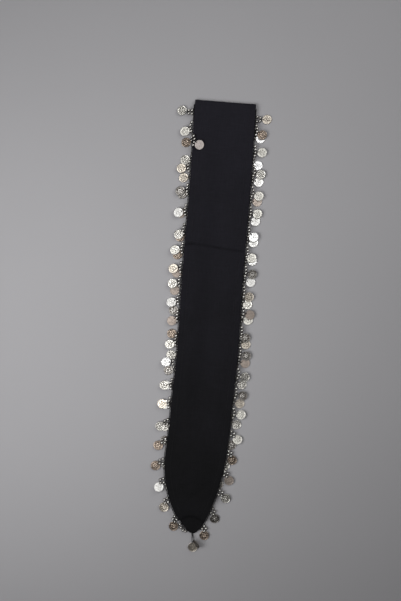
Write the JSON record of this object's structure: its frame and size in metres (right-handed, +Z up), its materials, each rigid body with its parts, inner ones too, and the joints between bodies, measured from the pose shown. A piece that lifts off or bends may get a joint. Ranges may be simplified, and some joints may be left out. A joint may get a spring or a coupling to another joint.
{
  "type": "sequin bandana",
  "caption": "Long black cotton head band, pointed at both ends, edged with silver beads and stamped coins, folded across the middle and laid flat.",
  "frame": {"origin": "on the flat underside, on the middle line of the visible half and half way between its fold and its point", "axes": "+X to the right across the band, +Y along it towards the fold, +Z up from the surface it lies on"},
  "size_m": [0.1205, 0.5728, 0.0128],
  "materials": {
    "black_cotton": "plain woven cotton, matt, with a faint blue-black bloom",
    "silver_trim": "thin plated metal, bright to tarnished champagne and brown",
    "black_thread": "twisted sewing thread, matt"
  },
  "bodies": {
    "root": {"band_cloth": "black_cotton", "trim_upper_left": "silver_trim", "trim_upper_right": "silver_trim", "trim_under_left": "silver_trim", "trim_under_right": "silver_trim", "pendant_upper": "silver_trim", "pendant_under": "silver_trim"}
  },
  "joints": []
}
